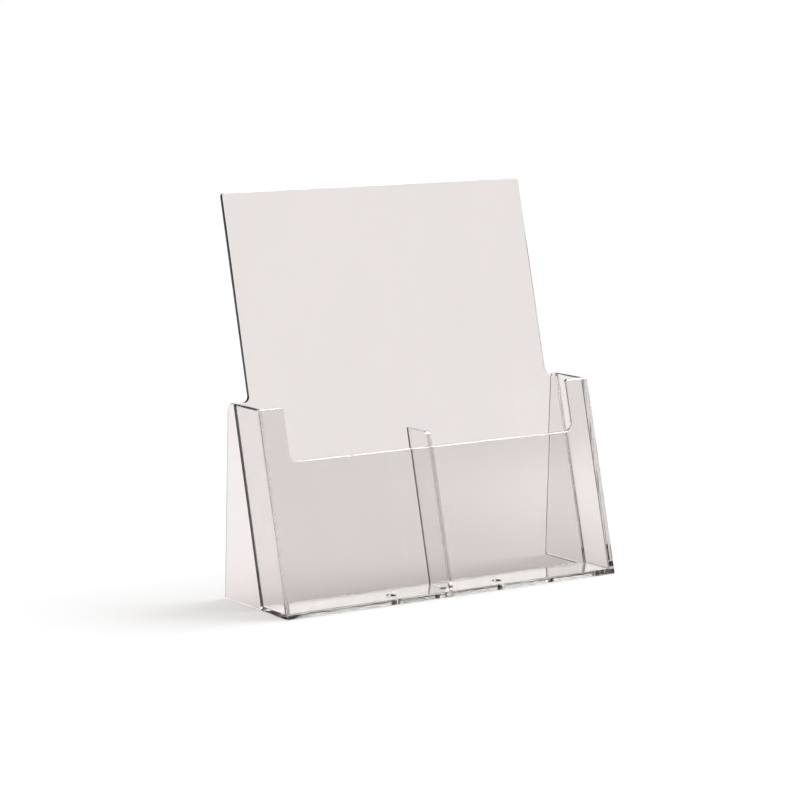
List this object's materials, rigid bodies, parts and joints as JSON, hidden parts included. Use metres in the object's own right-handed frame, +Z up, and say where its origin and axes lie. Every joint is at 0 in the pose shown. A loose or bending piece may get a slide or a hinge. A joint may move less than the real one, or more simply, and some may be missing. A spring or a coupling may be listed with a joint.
{
  "type": "countertop leaflet holder",
  "caption": "Clear plastic countertop leaflet holder: leaning back panel, cut-down front panel and side feet form an open-top pocket, split by a lift-out divider pegged into the floor.",
  "frame": {"origin": "on the table plane, under the centre of the holder's overall box", "axes": "+Z up from the table, +X to the holder's right seen from the front, +Y from the front panel towards the back panel"},
  "size_m": [0.2326, 0.0898, 0.2373],
  "materials": {
    "body_clear": "polished clear moulding",
    "divider_clear": "polished clear moulding"
  },
  "bodies": {
    "holder": {"front_panel": "body_clear", "back_panel": "body_clear", "left_side_panel": "body_clear", "right_side_panel": "body_clear", "floor_panel": "body_clear"},
    "divider": {"divider": "divider_clear"}
  },
  "joints": [
    {"name": "divider_lift", "type": "slide", "parent": "holder", "child": "divider", "axis": [0, 0.2419, 0.9703], "range_m": [0, 0.1]}
  ]
}
